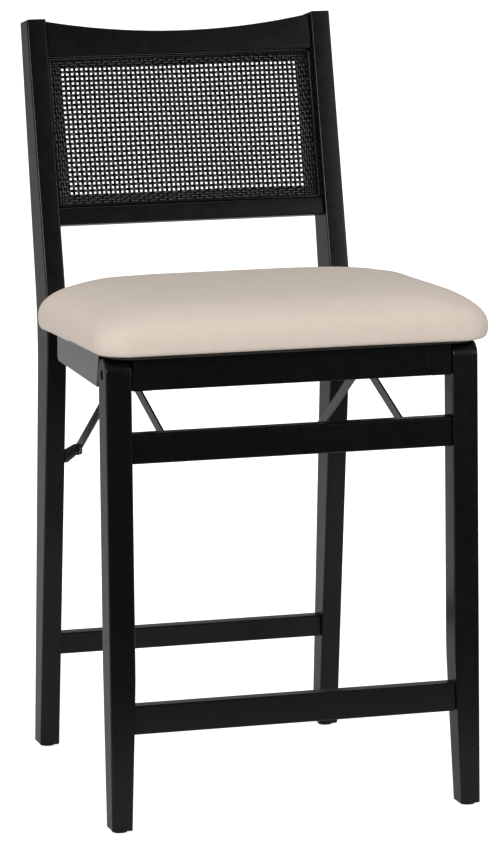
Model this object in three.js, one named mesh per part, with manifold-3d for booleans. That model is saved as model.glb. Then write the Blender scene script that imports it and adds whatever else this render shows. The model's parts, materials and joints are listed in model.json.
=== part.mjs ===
// Folding counter stool: wooden frame, cane back, padded seat, steel fold braces.
// Millimetres, +Z up. The front of the stool faces -Y, and the floor is z = 0.

import * as THREE from 'three';
import Module from 'manifold-3d';

const wasm = await Module();
wasm.setup();
const { Manifold, Mesh: SolidMesh } = wasm;

// Clearances
const jointGap = 0.3;
const pinGap = 0.25;
const cutOverrun = 2;

// Front frame
const legOuterX = 228.5;
const legWidth = 31.5;
const legDepth = 33;
const legTopRise = 19.3;
const legTaperHeight = 193;
const legFootWidth = 24.5;
const legFootDepth = 26;
const legFootForward = 16;
const pivotY = 13.8;
const pivotZ = 535.5;
const railThickness = 19;
const railSetback = 4;
const upperRailBottomZ = 431;
const upperRailHeight = 35.5;
const footrestBottomZ = 112.2;
const footrestHeight = 34.5;
const edgeRound = 2.2;

// Rear frame
const postOuterX = 196.4;
const postWidth = 24.9;
const backRise = 356.7;
const postTopFall = 6.5;
const postFootFrontY = 420.4;
const postFootDepth = 28.9;
const postBendFrontY = 366.7;
const postBendFrontZ = 551.5;
const postBendRearY = 417.1;
const postBendRearZ = 527;
const postTopFrontY = 456.7;
const postTopDepth = 32.2;
const postBendRadius = 120;
const backRailThickness = 19;
const backRailSetback = 5;
const crestEndDrop = 3.2;
const crestEndHeight = 43;
const crestDip = 15.5;
const backOpeningRise = 182;
const lowerBackRailHeight = 21;
const rearStretcherBottomZ = 116.4;
const rearStretcherHeight = 27;
const stretcherThickness = 19;
const stretcherSetback = 5;

// Cane panel
const beadWidth = 4;
const beadDepth = 5;
const caneBorder = 11;
const caneThickness = 1.6;
const caneColumns = 24;
const caneRows = 12;
const caneStrandShare = 0.34;

// Seat
const railOuterX = 195.2;
const sideRailThickness = 23.7;
const apronThickness = 19;
const apronHeight = 39.3;
const apronAbovePivot = 20.4;
const apronFrontY = -0.5;
const seatRearY = 323;
const railEndRadius = 6;
const sideBlockOuterX = 226.5;
const sideBlockLength = 183;
const sideBlockFrontLean = 12;
const sideBlockRearRise = 5;
const sideBlockEndRadius = 8;
const sideBlockGap = 2.5;
const boardThickness = 10;
const boardInset = 14;
const cushionFrontHalf = 241.5;
const cushionRearNarrowing = 2.3;
const cushionFrontY = -32;
const cushionRearY = 325;
const cushionLift = 1.2;
const cushionSideRise = 18.4;
const cushionCrownRise = 40.3;
const cushionFrontCorner = 35.5;
const cushionRearCorner = 78;
const cushionCornerShare = 0.33;
const cushionTuck = 3.8;
const cushionShoulder = 60;
const cushionDomePower = 2.12;
const cushionEdgePower = 1.32;
const cushionTilt = 4;
const cushionRearDroop = 12;
const cornerBlockLeg = 38;
const cornerBlockHeight = 28;

// Fold braces and their fittings
const rearPivotY = 391;
const rearPivotZ = 379.7;
const slidePinY = 189.3;
const slidePinDrop = 25.3;
const frontPivotY = 32.5;
const frontPivotRise = 22;
const braceWidth = 13;
const braceEyeRadius = 7.6;
const braceThickness = 2.5;
const rearBraceX = 152.4;
const frontBraceX = 146.4;
const bracePinRadius = 3.5;
const braceHeadRadius = 6.8;
const braceHeadThickness = 3;
const rivetHeadRadius = 5.9;
const standoffRadius = 7;
const standoffDrop = 8;
const standoffFootRadius = 8;
const standoffFootThickness = 4;
const foldedLegY = 282;
const foldedFrameTilt = 12;
const foldedSeatTilt = 66;
const foldedLift = 6;
const trackThickness = 3;
const trackMargin = 3.5;
const trackGrip = 12;
const earLength = 24;
const earThickness = 2.5;
const earBaseWidth = 26;

// Small hardware
const legPinRadius = 6;
const legPinRecess = 1.6;
const washerRadius = 13;
const washerPlay = 0.25;
const glideRadius = 9;
const glideThickness = 3;
const screwHeadRadius = 4;
const screwHeadThickness = 2.2;
const restPlate = 3;
const restLength = 88;
const restShelfLength = 14;
const restInset = 16;
const restHeight = 22;
const restShelfWidth = 18;

const woodColour = 0x17161a;
const steelColour = 0x6d6c68;
const caneColour = 0x1b1a1a;
const linenColour = 0xd8cbbd;
const plyColour = 0xb99a6b;

const wood = new THREE.MeshStandardMaterial({ color: woodColour, roughness: 0.42, metalness: 0 });
const cane = new THREE.MeshStandardMaterial({ color: caneColour, roughness: 0.5, metalness: 0 });
const linen = new THREE.MeshStandardMaterial({ color: linenColour, roughness: 0.95, metalness: 0 });
const ply = new THREE.MeshStandardMaterial({ color: plyColour, roughness: 0.8, metalness: 0 });
const steel = new THREE.MeshStandardMaterial({ color: steelColour, roughness: 0.4, metalness: 0.9 });
const nylon = new THREE.MeshStandardMaterial({ color: caneColour, roughness: 0.6, metalness: 0 });

const group = new THREE.Group();
const sides = [['left', -1], ['right', 1]];

// Worked-out sizes
const legInnerX = legOuterX - legWidth;
const postInnerX = postOuterX - postWidth;
const railInnerX = railOuterX - sideRailThickness;
const postTopZ = postBendFrontZ + backRise;
const crestBottomZ = postTopZ - crestEndDrop - crestEndHeight;
const lowerBackRailBottomZ = crestBottomZ - backOpeningRise - lowerBackRailHeight;
const apronTopZ = pivotZ + apronAbovePivot;
const apronBottomZ = apronTopZ - apronHeight;
const cushionRearHalf = cushionFrontHalf - cushionRearNarrowing;
const cushionBottomZ = apronTopZ + cushionLift;
const cushionWidestZ = cushionBottomZ + cushionSideRise;
const cushionCrownZ = cushionWidestZ + cushionCrownRise;
const slidePinZ = pivotZ - slidePinDrop;
const frontPivotZ = upperRailBottomZ + frontPivotRise;
const leanPerHeight = legFootForward / pivotZ;
const legFrontY = (z) => pivotY - legDepth / 2 - leanPerHeight * (pivotZ - z);

const mix = (a, b, share) => a + (b - a) * share;
const postFrontY = (z) => (z < postBendFrontZ
  ? mix(postFootFrontY, postBendFrontY, z / postBendFrontZ)
  : mix(postBendFrontY, postTopFrontY, (z - postBendFrontZ) / backRise));

// Geometry helpers
const sideBasis = new THREE.Matrix4().makeBasis(
  new THREE.Vector3(0, 1, 0), new THREE.Vector3(0, 0, 1), new THREE.Vector3(1, 0, 0));
const frontBasis = new THREE.Matrix4().makeBasis(
  new THREE.Vector3(1, 0, 0), new THREE.Vector3(0, 0, 1), new THREE.Vector3(0, -1, 0));

function outline(points) {
  return new THREE.Shape(points.map(([a, b]) => new THREE.Vector2(a, b)));
}

// Extrudes a (y, z) outline from x = from to x = to, with softened edges.
function sidePlate(shape, from, to, round = 0, curveSegments = 12) {
  const low = Math.min(from, to);
  const depth = Math.abs(to - from) - 2 * round;
  const geometry = new THREE.ExtrudeGeometry(shape, {
    depth, bevelEnabled: round > 0, bevelSize: round, bevelThickness: round,
    bevelOffset: -round, bevelSegments: 2, curveSegments, steps: 1,
  });
  geometry.translate(0, 0, low + round);
  geometry.applyMatrix4(sideBasis);
  return geometry;
}

// Extrudes an (x, z) outline from y = front to y = rear, with softened edges.
function frontPlate(shape, front, rear, round = 0, curveSegments = 12) {
  const geometry = new THREE.ExtrudeGeometry(shape, {
    depth: rear - front - 2 * round, bevelEnabled: round > 0, bevelSize: round,
    bevelThickness: round, bevelOffset: -round, bevelSegments: 2, curveSegments, steps: 1,
  });
  geometry.applyMatrix4(frontBasis);
  geometry.translate(0, rear - round, 0);
  return geometry;
}

// A rectangle with rounded corners, for the section of a rail.
function roundedBar(low, high, bottom, top, radius) {
  const shape = new THREE.Shape();
  shape.absarc(low + radius, bottom + radius, radius, Math.PI, 3 * Math.PI / 2, false);
  shape.absarc(high - radius, bottom + radius, radius, -Math.PI / 2, 0, false);
  shape.absarc(high - radius, top - radius, radius, 0, Math.PI / 2, false);
  shape.absarc(low + radius, top - radius, radius, Math.PI / 2, Math.PI, false);
  return shape;
}

function boxBetween(x0, x1, y0, y1, z0, z1) {
  const geometry = new THREE.BoxGeometry(Math.abs(x1 - x0), Math.abs(y1 - y0), Math.abs(z1 - z0));
  geometry.translate((x0 + x1) / 2, (y0 + y1) / 2, (z0 + z1) / 2);
  return geometry;
}

// A cylinder along X between two x values.
function rodX(radius, x0, x1, y, z, segments = 20) {
  const geometry = new THREE.CylinderGeometry(radius, radius, Math.abs(x1 - x0), segments);
  geometry.rotateZ(Math.PI / 2);
  geometry.translate((x0 + x1) / 2, y, z);
  return geometry;
}

function rodZ(radius, z0, z1, x, y, segments = 16) {
  const geometry = new THREE.CylinderGeometry(radius, radius, z1 - z0, segments);
  geometry.rotateX(Math.PI / 2);
  geometry.translate(x, y, (z0 + z1) / 2);
  return geometry;
}

function toSolid(geometry) {
  const position = geometry.attributes.position;
  const index = geometry.index
    ? Uint32Array.from(geometry.index.array)
    : Uint32Array.from({ length: position.count }, (unused, i) => i);
  const mesh = new SolidMesh({
    numProp: 3, vertProperties: new Float32Array(position.array), triVerts: index });
  mesh.merge();
  return new Manifold(mesh);
}

function toGeometry(solid) {
  const mesh = solid.getMesh();
  const geometry = new THREE.BufferGeometry();
  geometry.setAttribute('position', new THREE.BufferAttribute(new Float32Array(mesh.vertProperties), 3));
  geometry.setIndex(new THREE.BufferAttribute(new Uint32Array(mesh.triVerts), 1));
  const flat = geometry.toNonIndexed();
  flat.computeVertexNormals();
  return flat;
}

const join = (...parts) => toGeometry(Manifold.union(parts.map(toSolid)));
const cut = (body, ...tools) => toGeometry(
  tools.reduce((left, tool) => left.subtract(toSolid(tool)), toSolid(body)));

function add(name, geometry, material) {
  const mesh = new THREE.Mesh(geometry, material);
  mesh.name = name;
  group.add(mesh);
  return mesh;
}

// Fold path: each part turns evenly from the open pose to the folded pose.
const radians = (degrees) => degrees * Math.PI / 180;
const turn = ([y, z], angle) => [
  y * Math.cos(angle) - z * Math.sin(angle), y * Math.sin(angle) + z * Math.cos(angle)];
const plus = ([a, b], [c, d]) => [a + c, b + d];
const minus = ([a, b], [c, d]) => [a - c, b - d];
const reach = ([a, b]) => Math.hypot(a, b);

const openPivot = [pivotY, pivotZ];
const openRear = [rearPivotY, rearPivotZ];
const openSlide = [slidePinY, slidePinZ];
const openFront = [frontPivotY, frontPivotZ];
const rearBraceLength = reach(minus(openSlide, openRear));
const frontBraceLength = reach(minus(openFront, openSlide));

function foldedSlide() {
  const tilt = radians(foldedFrameTilt);
  const legPivot = [foldedLegY, pivotZ * Math.cos(tilt) + foldedLift];
  const front = plus(legPivot, turn(minus(openFront, openPivot), tilt));
  const span = reach(minus(front, openRear));
  const [uy, uz] = minus(front, openRear).map((value) => value / span);
  const along = (rearBraceLength ** 2 - frontBraceLength ** 2 + span ** 2) / (2 * span);
  const across = Math.sqrt(rearBraceLength ** 2 - along ** 2);
  const slide = plus(openRear, [along * uy + across * uz, along * uz - across * uy]);
  return { slide, front };
}

const folded = foldedSlide();
const angleOf = ([y, z]) => (Math.atan2(z, y) + 2 * Math.PI) % (2 * Math.PI);
const rearBraceTurn = angleOf(minus(folded.slide, openRear)) - angleOf(minus(openSlide, openRear));
const frontBraceTurn = angleOf(minus(folded.front, folded.slide)) - angleOf(minus(openFront, openSlide));

// Where the slide pin is, seen from the seat, at a share of the fold from 0 to 1.
function slideInSeat(share) {
  const slide = plus(openRear, turn(minus(openSlide, openRear), rearBraceTurn * share));
  const front = plus(slide, turn(minus(openFront, openSlide), frontBraceTurn * share));
  const frameTilt = radians(foldedFrameTilt) * share;
  const legPivot = plus(front, turn(minus(openPivot, openFront), frameTilt));
  return plus(openPivot, turn(minus(slide, legPivot), -radians(foldedSeatTilt) * share));
}

// Front legs
function frontLeg(side) {
  const half = legDepth / 2;
  const archZ = pivotZ + legTopRise - half;
  const shape = new THREE.Shape();
  const rearAt = (z) => legFrontY(z) + legDepth;
  shape.moveTo(legFrontY(0), 0);
  shape.lineTo(legFrontY(0) + legFootDepth, 0);
  shape.lineTo(rearAt(legTaperHeight), legTaperHeight);
  shape.lineTo(pivotY + half, archZ);
  shape.absarc(pivotY, archZ, half, 0, Math.PI, false);
  const profile = sidePlate(shape, legInnerX, legOuterX, edgeRound, 16);
  const footInnerX = legOuterX - legFootWidth;
  const face = outline([
    [footInnerX, -cutOverrun], [legOuterX + cutOverrun, -cutOverrun],
    [legOuterX + cutOverrun, postTopZ], [legInnerX - cutOverrun, postTopZ],
    [legInnerX - cutOverrun, legTaperHeight + cutOverrun * legTaperHeight / legWidth],
    [legInnerX, legTaperHeight]]);
  const wide = frontPlate(face, legFrontY(0) - cutOverrun, pivotY + legDepth);
  const boreRadius = legPinRadius + pinGap;
  const bore = rodX(boreRadius, legInnerX - cutOverrun, legOuterX + cutOverrun, pivotY, pivotZ);
  const leg = toSolid(profile).intersect(toSolid(wide)).subtract(toSolid(bore));
  return toGeometry(side < 0 ? leg.mirror([1, 0, 0]) : leg);
}

function crossRail(bottomZ, height, frontY, thickness, halfLength) {
  const shape = roundedBar(frontY, frontY + thickness, bottomZ, bottomZ + height, edgeRound);
  return sidePlate(shape, -halfLength, halfLength, 0, 3);
}

for (const [name, side] of sides) add(`front_leg_${name}`, frontLeg(side), wood);

const upperRailY = legFrontY(upperRailBottomZ) + railSetback;
const footrestY = legFrontY(footrestBottomZ) + railSetback;
const frontRailHalf = legInnerX - jointGap;
add('upper_front_rail',
  crossRail(upperRailBottomZ, upperRailHeight, upperRailY, railThickness, frontRailHalf), wood);
const footrestHalf = frontRailHalf + footrestGrowth();
add('footrest_rail',
  crossRail(footrestBottomZ, footrestHeight, footrestY, railThickness, footrestHalf), wood);

// The leg narrows below the taper height, so the footrest reaches a little further out.
function footrestGrowth() {
  const share = 1 - (footrestBottomZ + footrestHeight) / legTaperHeight;
  return (legWidth - legFootWidth) * share;
}

// Rear posts, bent at seat height
function rearPost(from, to) {
  const shape = new THREE.Shape();
  const rearFoot = postFootFrontY + postFootDepth;
  const blend = postBendRadius;
  const topRear = postTopFrontY + postTopDepth;
  const point = (a, b, share) => [mix(a[0], b[0], share), mix(a[1], b[1], share)];
  const foot = [rearFoot, 0];
  const rearBend = [postBendRearY, postBendRearZ];
  const rearTop = [topRear, postTopZ - postTopFall];
  const frontTop = [postTopFrontY, postTopZ];
  const frontBend = [postBendFrontY, postBendFrontZ];
  const frontFoot = [postFootFrontY, 0];
  const bendShare = (a, b) => blend / reach(minus(a, b)) / 2;
  shape.moveTo(...frontFoot);
  shape.lineTo(...foot);
  shape.lineTo(...point(rearBend, foot, bendShare(rearBend, foot)));
  shape.quadraticCurveTo(...rearBend, ...point(rearBend, rearTop, bendShare(rearBend, rearTop)));
  shape.lineTo(...rearTop);
  shape.lineTo(...frontTop);
  shape.lineTo(...point(frontBend, frontTop, bendShare(frontBend, frontTop)));
  shape.quadraticCurveTo(...frontBend, ...point(frontBend, frontFoot, bendShare(frontBend, frontFoot)));
  return sidePlate(shape, from, to, edgeRound, 8);
}

for (const [name, side] of sides) {
  add(`rear_post_${name}`, rearPost(side * postInnerX, side * postOuterX), wood);
}

const backRailHalf = postInnerX - jointGap;
const backSlope = (postTopFrontY - postBendFrontY) / backRise;
const backFrontY = (z) => postFrontY(z) + backRailSetback;

// A back rail is a flat board leaning with the posts; its outline is drawn face on.
function leaningBoard(shape, bottomZ, thickness, round) {
  const lean = Math.atan(backSlope);
  const geometry = frontPlate(shape, 0, thickness, round, 18);
  geometry.rotateX(-lean);
  geometry.translate(0, backFrontY(bottomZ), bottomZ);
  return geometry;
}

const leanLength = Math.hypot(1, backSlope);
const crestHeight = crestEndHeight * leanLength;

function crestRail() {
  const shape = new THREE.Shape();
  const dip = crestDip * leanLength;
  shape.moveTo(-backRailHalf, 0);
  shape.lineTo(backRailHalf, 0);
  shape.lineTo(backRailHalf, crestHeight);
  shape.quadraticCurveTo(0, crestHeight - 2 * dip, -backRailHalf, crestHeight);
  return leaningBoard(shape, crestBottomZ, backRailThickness, edgeRound);
}

add('crest_rail', crestRail(), wood);
const lowerBackRailLength = lowerBackRailHeight * leanLength;
add('lower_back_rail', leaningBoard(outline([
  [-backRailHalf, 0], [backRailHalf, 0],
  [backRailHalf, lowerBackRailLength], [-backRailHalf, lowerBackRailLength]]),
lowerBackRailBottomZ, backRailThickness, edgeRound), wood);

const rearStretcherY = postFrontY(rearStretcherBottomZ) + stretcherSetback;
add('rear_stretcher', crossRail(
  rearStretcherBottomZ, rearStretcherHeight, rearStretcherY, stretcherThickness, backRailHalf), wood);

// Cane panel, held by a bead ring in the opening of the back
const openingBottomZ = lowerBackRailBottomZ + lowerBackRailHeight;
const openingHeight = backOpeningRise * leanLength;

function ring(halfWidth, low, high, width) {
  const shape = outline([[-halfWidth, low], [halfWidth, low], [halfWidth, high], [-halfWidth, high]]);
  shape.holes.push(outline([
    [-halfWidth + width, low + width], [-halfWidth + width, high - width],
    [halfWidth - width, high - width], [halfWidth - width, low + width]]));
  return shape;
}

function backInsert(shape, thickness, setback, round = 0) {
  const lean = Math.atan(backSlope);
  const geometry = frontPlate(shape, setback, setback + thickness, round);
  geometry.rotateX(-lean);
  geometry.translate(0, backFrontY(openingBottomZ), openingBottomZ);
  return geometry;
}

const beadSetback = backRailThickness / 2 - beadDepth;
const beadRing = ring(backRailHalf, jointGap, openingHeight - jointGap, beadWidth);
add('cane_bead', backInsert(beadRing, beadDepth - jointGap, beadSetback), wood);

// The cane sheet reaches behind the bead and has caneColumns by caneRows open gaps.
function caneSheet() {
  const half = backRailHalf;
  const low = jointGap;
  const high = openingHeight - jointGap;
  const inset = beadWidth + caneBorder;
  const front = backRailThickness / 2;
  const pitchX = 2 * (half - inset) / caneColumns;
  const pitchZ = (high - low - 2 * inset) / caneRows;
  const gapX = pitchX * (1 - caneStrandShare);
  const gapZ = pitchZ * (1 - caneStrandShare);
  const gaps = [];
  for (let column = 0; column < caneColumns; column += 1) {
    for (let row = 0; row < caneRows; row += 1) {
      const x = -half + inset + pitchX * (column + 0.5);
      const z = low + inset + pitchZ * (row + 0.5);
      gaps.push(toSolid(boxBetween(x - gapX / 2, x + gapX / 2,
        front - cutOverrun, front + caneThickness + cutOverrun, z - gapZ / 2, z + gapZ / 2)));
    }
  }
  const sheet = toSolid(boxBetween(-half, half, front, front + caneThickness, low, high));
  const geometry = toGeometry(sheet.subtract(Manifold.union(gaps)));
  geometry.rotateX(-Math.atan(backSlope));
  geometry.translate(0, backFrontY(openingBottomZ), openingBottomZ);
  return geometry;
}

add('cane_panel', caneSheet(), cane);

// Foot glides
for (const [name, side] of sides) {
  const frontX = side * (legOuterX - legFootWidth / 2);
  const rearX = side * (postOuterX - postWidth / 2);
  add(`front_glide_${name}`,
    rodZ(glideRadius, -glideThickness, -jointGap, frontX, legFrontY(0) + legFootDepth / 2), nylon);
  add(`rear_glide_${name}`,
    rodZ(glideRadius, -glideThickness, -jointGap, rearX, postFootFrontY + postFootDepth / 2), nylon);
}

// Seat frame
const restFrontY = seatRearY - restInset;
const restShelfZ = apronBottomZ - jointGap;

function sideRail(side) {
  const shape = new THREE.Shape();
  const frontY = apronFrontY;
  shape.moveTo(frontY, apronBottomZ);
  shape.lineTo(seatRearY - railEndRadius, apronBottomZ);
  shape.absarc(
    seatRearY - railEndRadius, apronBottomZ + railEndRadius, railEndRadius, -Math.PI / 2, 0, false);
  shape.lineTo(seatRearY, apronTopZ);
  shape.lineTo(frontY, apronTopZ);
  const hole = new THREE.Path();
  hole.absarc(pivotY, pivotZ, legPinRadius + pinGap, 0, 2 * Math.PI, true);
  shape.holes.push(hole);
  return sidePlate(shape, side * railInnerX, side * railOuterX);
}

// The block behind each leg: its front end leans away from the leg, its lower edge climbs to the rear.
function sideBlock(side) {
  const startY = pivotY + legDepth / 2 + sideBlockGap;
  const endY = startY + sideBlockLength;
  const rearZ = apronBottomZ + sideBlockRearRise;
  const shape = new THREE.Shape();
  shape.moveTo(startY + sideBlockFrontLean, apronBottomZ);
  shape.lineTo(endY - sideBlockEndRadius, rearZ);
  shape.quadraticCurveTo(endY, rearZ, endY, rearZ + sideBlockEndRadius);
  shape.lineTo(endY, apronTopZ);
  shape.lineTo(startY, apronTopZ);
  return sidePlate(shape, side * (railOuterX + jointGap), side * sideBlockOuterX, edgeRound / 2);
}

for (const [name, side] of sides) {
  add(`seat_side_rail_${name}`, sideRail(side), wood);
  add(`seat_side_block_${name}`, sideBlock(side), wood);
}

const apronHalf = railInnerX - jointGap;
add('front_apron', boxBetween(
  -apronHalf, apronHalf, apronFrontY, apronFrontY + apronThickness, apronBottomZ, apronTopZ), wood);
add('rear_apron', boxBetween(
  -apronHalf, apronHalf, seatRearY - apronThickness, seatRearY, apronBottomZ, apronTopZ), wood);

// The cushion's plan, drawn in from its edge: a rounded rectangle, a little narrower at the rear.
function cushionPlan(inset, cornerGrowth) {
  const cornerSteps = 8;
  const sideSteps = 3;
  const arcs = [[1, 1], [-1, 1], [-1, -1], [1, -1]].map(([sx, sy], corner) => {
    const halfWidth = (sy > 0 ? cushionRearHalf : cushionFrontHalf) - inset;
    const edgeY = sy > 0 ? cushionRearY - inset : cushionFrontY + inset;
    const wanted = (sy > 0 ? cushionRearCorner : cushionFrontCorner) + cornerGrowth;
    const radius = Math.min(wanted, 0.98 * ((cushionRearY - cushionFrontY) / 2 - inset));
    return Array.from({ length: cornerSteps + 1 }, (unused, step) => {
      const angle = (corner + step / cornerSteps) * Math.PI / 2;
      const x = sx * (halfWidth - radius) + radius * Math.cos(angle);
      return [x, edgeY - sy * radius + radius * Math.sin(angle)];
    });
  });
  return arcs.flatMap((arc, corner) => {
    const [endX, endY] = arc[cornerSteps];
    const [nextX, nextY] = arcs[(corner + 1) % arcs.length][0];
    const between = Array.from({ length: sideSteps }, (unused, step) => {
      const share = (step + 1) / (sideSteps + 1);
      return [mix(endX, nextX, share), mix(endY, nextY, share)];
    });
    return [...arc, ...between];
  });
}

const boardBottomZ = apronTopZ + jointGap;
const boardTopZ = boardBottomZ + boardThickness;

function boardSolid(grow, bottomZ, topZ) {
  const plan = cushionPlan(boardInset - grow, 0);
  const geometry = new THREE.ExtrudeGeometry(outline(plan), { depth: topZ - bottomZ, bevelEnabled: false });
  geometry.translate(0, 0, bottomZ);
  return geometry;
}

add('seat_board', boardSolid(0, boardBottomZ, boardTopZ), ply);

// Cushion: a crowned pad that leans back a little and droops at its rear corners.
function cushionGeometry() {
  const midY = (cushionFrontY + cushionRearY) / 2;
  const halfDepth = (cushionRearY - cushionFrontY) / 2;
  const sideSteps = 6;
  const domeSteps = 11;
  const rings = [];
  for (let step = 0; step <= sideSteps; step += 1) {
    const angle = Math.PI / 2 * step / sideSteps;
    const inset = cushionTuck * (1 - Math.sin(angle));
    rings.push({ inset, growth: 0, z: cushionBottomZ + cushionSideRise * (1 - Math.cos(angle)) });
  }
  for (let step = 1; step <= domeSteps; step += 1) {
    const inset = 0.97 * halfDepth * (step / domeSteps) ** 2;
    const leftShare = 1 - Math.min(inset / cushionShoulder, 1);
    const riseShare = (1 - leftShare ** cushionDomePower) ** (1 / cushionEdgePower);
    const z = cushionWidestZ + cushionCrownRise * riseShare;
    rings.push({ inset, growth: cushionCornerShare * inset, z });
  }
  const settled = (x, y, z) => {
    const lengthShare = (y - midY) / halfDepth;
    const riseShare = (z - cushionBottomZ) / (cushionCrownZ - cushionBottomZ);
    const sideShare = Math.min(Math.abs(x) / cushionFrontHalf, 1);
    const droop = lengthShare > 0 ? cushionRearDroop : 0;
    return z - cushionTilt * lengthShare - droop * (1 - riseShare) * sideShare ** 4 * lengthShare ** 3;
  };
  const plans = rings.map(({ inset, growth }) => cushionPlan(inset, growth));
  const around = plans[0].length;
  const points = plans.flatMap((plan, level) => (
    plan.flatMap(([x, y]) => [x, y, settled(x, y, rings[level].z)])));
  const bottomCentre = points.length / 3;
  points.push(0, midY, cushionBottomZ);
  points.push(0, midY, cushionCrownZ);
  const index = [];
  for (let level = 0; level + 1 < rings.length; level += 1) {
    for (let step = 0; step < around; step += 1) {
      const a = level * around + step;
      const b = level * around + (step + 1) % around;
      index.push(a, b, b + around, a, b + around, a + around);
    }
  }
  const last = (rings.length - 1) * around;
  for (let step = 0; step < around; step += 1) {
    const next = (step + 1) % around;
    index.push(bottomCentre, next, step);
    index.push(bottomCentre + 1, last + step, last + next);
  }
  const geometry = new THREE.BufferGeometry();
  geometry.setAttribute('position', new THREE.Float32BufferAttribute(points, 3));
  geometry.setIndex(index);
  const pocket = boardSolid(jointGap, apronBottomZ, boardTopZ + jointGap);
  const overFrame = boxBetween(-sideBlockOuterX - jointGap, sideBlockOuterX + jointGap,
    cushionFrontY - cutOverrun, seatRearY + jointGap, apronBottomZ, boardBottomZ);
  return cut(geometry, pocket, overFrame);
}

add('cushion', cushionGeometry(), linen);

// Corner blocks inside the seat frame
for (const [name, side] of sides) {
  for (const [place, facing] of [['front', 1], ['rear', -1]]) {
    const cornerX = side * (railInnerX - jointGap);
    const cornerY = facing > 0
      ? apronFrontY + apronThickness + jointGap
      : seatRearY - apronThickness - jointGap;
    const points = [
      [cornerX, cornerY], [cornerX - side * cornerBlockLeg, cornerY],
      [cornerX, cornerY + facing * cornerBlockLeg]];
    const ordered = side * facing > 0 ? points.reverse() : points;
    const geometry = new THREE.ExtrudeGeometry(
      outline(ordered), { depth: cornerBlockHeight, bevelEnabled: false });
    geometry.translate(0, 0, apronTopZ - cornerBlockHeight);
    add(`corner_block_${place}_${name}`, geometry, ply);
    const screwX = cornerX - side * cornerBlockLeg / 4;
    const screwY = cornerY + facing * cornerBlockLeg / 4;
    add(`board_screw_${place}_${name}`, boardScrew(screwX, screwY), steel);
  }
}

// A screw that stands under its corner block, head down.
function boardScrew(x, y) {
  const seatZ = apronTopZ - cornerBlockHeight - jointGap;
  return rodZ(screwHeadRadius, seatZ - screwHeadThickness, seatZ, x, y);
}

// Slotted tracks under the side rails, for the slide pins
function trackShape() {
  const steps = 10;
  const path = Array.from({ length: steps + 1 }, (unused, i) => slideInSeat(i / steps));
  const offset = (radius, reverse) => path.map(([y, z], i) => {
    const before = path[Math.max(i - 1, 0)];
    const after = path[Math.min(i + 1, steps)];
    const [ty, tz] = minus(after, before);
    const length = Math.hypot(ty, tz) * (reverse ? -1 : 1);
    return [y - radius * tz / length, z + radius * ty / length];
  });
  const slotRadius = bracePinRadius + pinGap;
  const endArc = (centre, start, radius) => [1, 2, 3, 4, 5].map((i) => {
    const angle = start + Math.PI * i / 6;
    return [centre[0] + radius * Math.cos(angle), centre[1] + radius * Math.sin(angle)];
  });
  const heading = (a, b) => Math.atan2(b[1] - a[1], b[0] - a[0]);
  const openHeading = heading(path[0], path[1]);
  const closeHeading = heading(path[steps - 1], path[steps]);
  const slotLoop = [
    ...offset(slotRadius, true),
    ...endArc(path[steps], closeHeading - Math.PI / 2, slotRadius),
    ...offset(slotRadius, false).reverse(),
    ...endArc(path[0], openHeading + Math.PI / 2, slotRadius)];
  const ys = path.map(([y]) => y);
  const low = Math.min(...ys) - slotRadius - trackMargin;
  const high = Math.max(...ys) + slotRadius + trackMargin;
  const depth = slotRadius + trackMargin;
  const shape = new THREE.Shape();
  const top = apronBottomZ + trackGrip;
  shape.moveTo(low, top);
  shape.lineTo(low, path[steps][1] - depth / 2);
  path.slice(1, steps).reverse().forEach(([y, z]) => shape.lineTo(y, z - depth));
  shape.lineTo(high, path[0][1] - depth / 2);
  shape.lineTo(high, top);
  shape.holes.push(outline(slotLoop));
  return shape;
}

for (const [name, side] of sides) {
  const outer = side * (railInnerX - jointGap);
  add(`slide_track_${name}`, sidePlate(trackShape(), outer - side * trackThickness, outer), steel);
}

// Leg pivots: a pin through leg, washer and side rail
for (const [name, side] of sides) {
  const pinInner = side * (railInnerX + legPinRecess);
  const pinOuter = side * (legOuterX - legPinRecess);
  add(`leg_pivot_pin_${name}`, rodX(legPinRadius, pinInner, pinOuter, pivotY, pivotZ), steel);
  add(`leg_washer_${name}`, cut(
    rodX(
      washerRadius, side * (railOuterX + washerPlay), side * (legInnerX - washerPlay), pivotY, pivotZ, 28),
    rodX(legPinRadius + pinGap, side * (railOuterX - cutOverrun), side * (legInnerX + cutOverrun),
      pivotY, pivotZ)), nylon);
}

// Flat steel braces with a round eye at each end
function brace(from, to, innerX, side) {
  const [dy, dz] = minus(to, from);
  const length = reach([dy, dz]);
  const heading = Math.atan2(dz, dy);
  const half = braceWidth / 2;
  const shoulder = Math.acos(half / braceEyeRadius);
  const shape = new THREE.Shape();
  shape.absarc(0, 0, braceEyeRadius, Math.PI / 2 - shoulder, 3 * Math.PI / 2 + shoulder, false);
  shape.absarc(length, 0, braceEyeRadius, -Math.PI / 2 - shoulder, Math.PI / 2 + shoulder, false);
  for (const centre of [0, length]) {
    const hole = new THREE.Path();
    hole.absarc(centre, 0, bracePinRadius + pinGap, 0, 2 * Math.PI, true);
    shape.holes.push(hole);
  }
  const low = side > 0 ? innerX : -innerX - braceThickness;
  const geometry = new THREE.ExtrudeGeometry(
    shape, { depth: braceThickness, bevelEnabled: false, curveSegments: 10 });
  geometry.rotateZ(heading);
  geometry.translate(from[0], from[1], low);
  geometry.applyMatrix4(sideBasis);
  return geometry;
}

const [rearY, rearZ] = openRear;
const [slideY, slideZ] = openSlide;
const [frontY, frontZ] = openFront;
const earInnerX = frontBraceX - jointGap - earThickness;

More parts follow.
